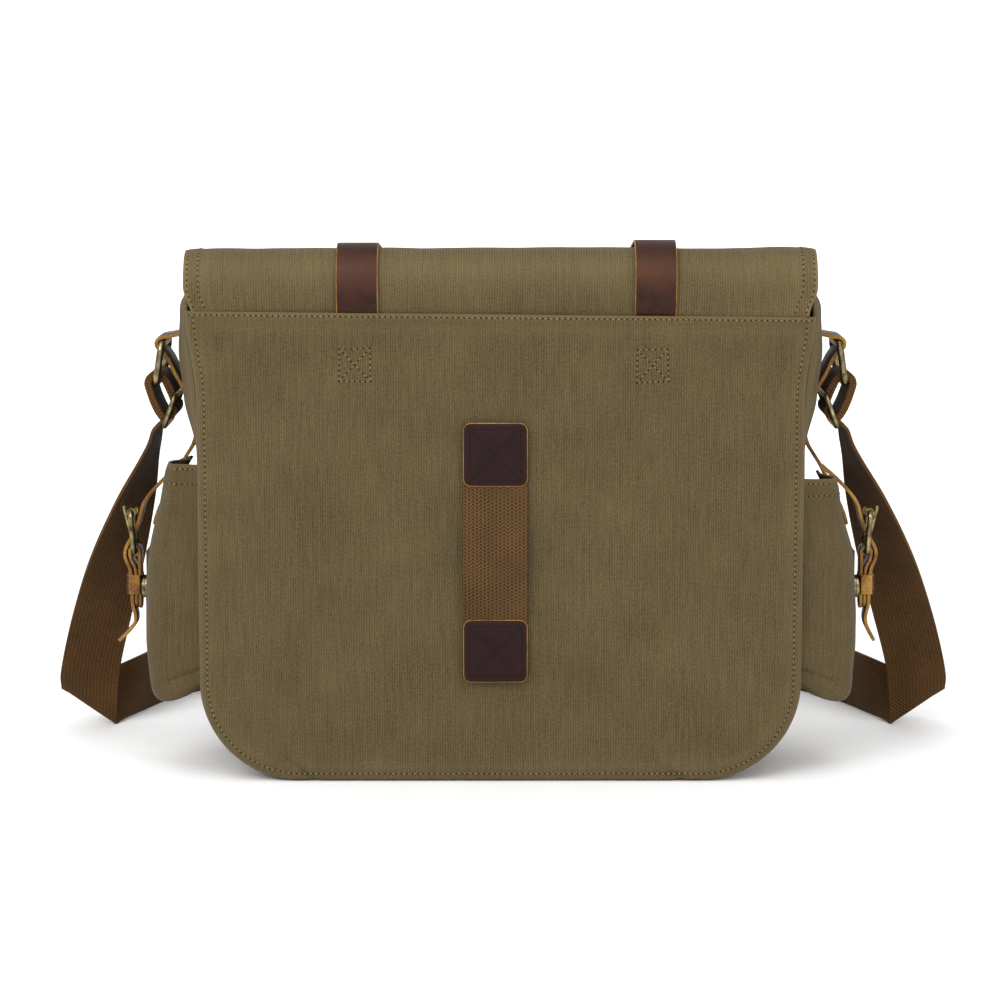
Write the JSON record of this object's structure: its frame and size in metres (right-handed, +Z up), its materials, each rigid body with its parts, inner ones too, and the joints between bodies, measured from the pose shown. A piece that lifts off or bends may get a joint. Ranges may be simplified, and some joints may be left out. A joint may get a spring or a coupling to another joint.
{
  "type": "messenger bag",
  "caption": "Canvas messenger bag with a fold-over flap, leather buckle straps, side pockets and a webbing shoulder strap on rings.",
  "frame": {"origin": "middle of the base's underside, on the surface that the bag stands on", "axes": "+Z up, +Y towards the plain back panel, -Y towards the flap and its buckles, X along the bag's width"},
  "size_m": [0.5736, 0.358, 0.3165],
  "materials": {
    "canvas": "olive khaki cotton canvas",
    "lining": "plain woven cotton lining",
    "padding": "foam under lining cloth",
    "board": "stiff base board",
    "webbing": "brown cotton webbing, herringbone",
    "binding_webbing": "brown binding webbing",
    "strap_webbing": "dark brown cotton webbing",
    "leather": "waxed dark reddish brown, raw tan edges",
    "antique_brass": "antique brass plate, satin"
  },
  "bodies": {
    "bag": {"back_foam": "padding", "back_panel": "canvas", "back_patch_lower": "leather", "back_patch_upper": "leather", "back_webbing": "webbing", "base_board": "board", "flap_back": "canvas", "flap_strap_backs": "leather", "front_panel": "canvas", "front_pocket_left": "canvas", "front_pocket_right": "canvas", "front_snap_sockets": "antique_brass", "gusset": "canvas", "laptop_divider": "padding", "laptop_strap": "binding_webbing", "lining": "lining", "pocket_anchor_left": "leather", "pocket_anchor_right": "leather", "pocket_patches": "canvas", "pocket_snap_sockets": "antique_brass", "ring_tab_left": "leather", "ring_tab_right": "leather", "side_pocket_left": "canvas", "side_pocket_right": "canvas"},
    "flap_top": {"flap_top": "canvas", "flap_strap_tops": "leather"},
    "flap_front": {"flap_front": "canvas", "front_strap_left": "leather", "front_strap_right": "leather", "front_buckle_left": "antique_brass", "front_buckle_right": "antique_brass", "front_buckle_tabs": "leather", "front_keepers": "leather", "front_snap_studs": "antique_brass"},
    "shoulder_strap": {"strap_front": "strap_webbing", "strap_side_left": "strap_webbing", "strap_loop_left": "strap_webbing", "strap_slider_left": "antique_brass", "strap_side_right": "strap_webbing", "strap_loop_right": "strap_webbing", "strap_slider_right": "antique_brass"},
    "side_ring_left": {"side_ring_left": "antique_brass"},
    "pocket_strap_left": {"pocket_strap_left": "leather", "pocket_buckle_left": "antique_brass", "pocket_tab_left": "leather", "pocket_stud_left": "antique_brass"},
    "front_roller_left": {"front_roller_left": "antique_brass"},
    "front_prong_left": {"front_prong_left": "antique_brass"},
    "pocket_roller_left": {"pocket_roller_left": "antique_brass"},
    "pocket_prong_left": {"pocket_prong_left": "antique_brass"},
    "side_ring_right": {"side_ring_right": "antique_brass"},
    "pocket_strap_right": {"pocket_strap_right": "leather", "pocket_buckle_right": "antique_brass", "pocket_tab_right": "leather", "pocket_stud_right": "antique_brass"},
    "front_roller_right": {"front_roller_right": "antique_brass"},
    "front_prong_right": {"front_prong_right": "antique_brass"},
    "pocket_roller_right": {"pocket_roller_right": "antique_brass"},
    "pocket_prong_right": {"pocket_prong_right": "antique_brass"}
  },
  "joints": [
    {"name": "flap_top_fold", "type": "hinge", "parent": "bag", "child": "flap_top", "pos_m": [0, 0.054, 0.313], "axis": [-1, 0, 0], "range_deg": [0, 210]},
    {"name": "flap_front_fold", "type": "hinge", "parent": "flap_top", "child": "flap_front", "pos_m": [0, -0.059, 0.3125], "axis": [-1, 0, 0], "range_deg": [0, 90]},
    {"name": "strap_swing", "type": "hinge", "parent": "bag", "child": "shoulder_strap", "pos_m": [0, 0, 0.26], "axis": [-1, 0, 0], "range_deg": [0, 180], "deforming": ["ring_tab_left", "ring_tab_right"]},
    {"name": "ring_turn_left", "type": "hinge", "parent": "shoulder_strap", "child": "side_ring_left", "pos_m": [-0.203, 0, 0.26], "axis": [0, 1, 0], "range_deg": [-4, 4]},
    {"name": "pocket_strap_fold_left", "type": "hinge", "parent": "bag", "child": "pocket_strap_left", "pos_m": [-0.196, 0, 0.184], "axis": [0, 1, 0], "range_deg": [0, 50]},
    {"name": "front_roller_turn_left", "type": "hinge", "parent": "flap_front", "child": "front_roller_left", "pos_m": [-0.091, -0.0885, 0.142], "axis": [-1, 0, 0], "continuous": true},
    {"name": "front_prong_lift_left", "type": "hinge", "parent": "flap_front", "child": "front_prong_left", "pos_m": [-0.091, -0.0868, 0.118], "axis": [1, 0, 0], "range_deg": [0, 25]},
    {"name": "pocket_roller_turn_left", "type": "hinge", "parent": "pocket_strap_left", "child": "pocket_roller_left", "pos_m": [-0.2247, 0, 0.156], "axis": [0, 1, 0], "continuous": true},
    {"name": "pocket_prong_lift_left", "type": "hinge", "parent": "pocket_strap_left", "child": "pocket_prong_left", "pos_m": [-0.223, 0, 0.132], "axis": [0, -1, 0], "range_deg": [0, 25]},
    {"name": "ring_turn_right", "type": "hinge", "parent": "shoulder_strap", "child": "side_ring_right", "pos_m": [0.203, 0, 0.26], "axis": [0, -1, 0], "range_deg": [-4, 4]},
    {"name": "pocket_strap_fold_right", "type": "hinge", "parent": "bag", "child": "pocket_strap_right", "pos_m": [0.196, 0, 0.184], "axis": [0, -1, 0], "range_deg": [0, 50]},
    {"name": "front_roller_turn_right", "type": "hinge", "parent": "flap_front", "child": "front_roller_right", "pos_m": [0.084, -0.0885, 0.142], "axis": [-1, 0, 0], "continuous": true},
    {"name": "front_prong_lift_right", "type": "hinge", "parent": "flap_front", "child": "front_prong_right", "pos_m": [0.084, -0.0868, 0.118], "axis": [1, 0, 0], "range_deg": [0, 25]},
    {"name": "pocket_roller_turn_right", "type": "hinge", "parent": "pocket_strap_right", "child": "pocket_roller_right", "pos_m": [0.2247, 0, 0.156], "axis": [0, -1, 0], "continuous": true},
    {"name": "pocket_prong_lift_right", "type": "hinge", "parent": "pocket_strap_right", "child": "pocket_prong_right", "pos_m": [0.223, 0, 0.132], "axis": [0, 1, 0], "range_deg": [0, 25]}
  ]
}
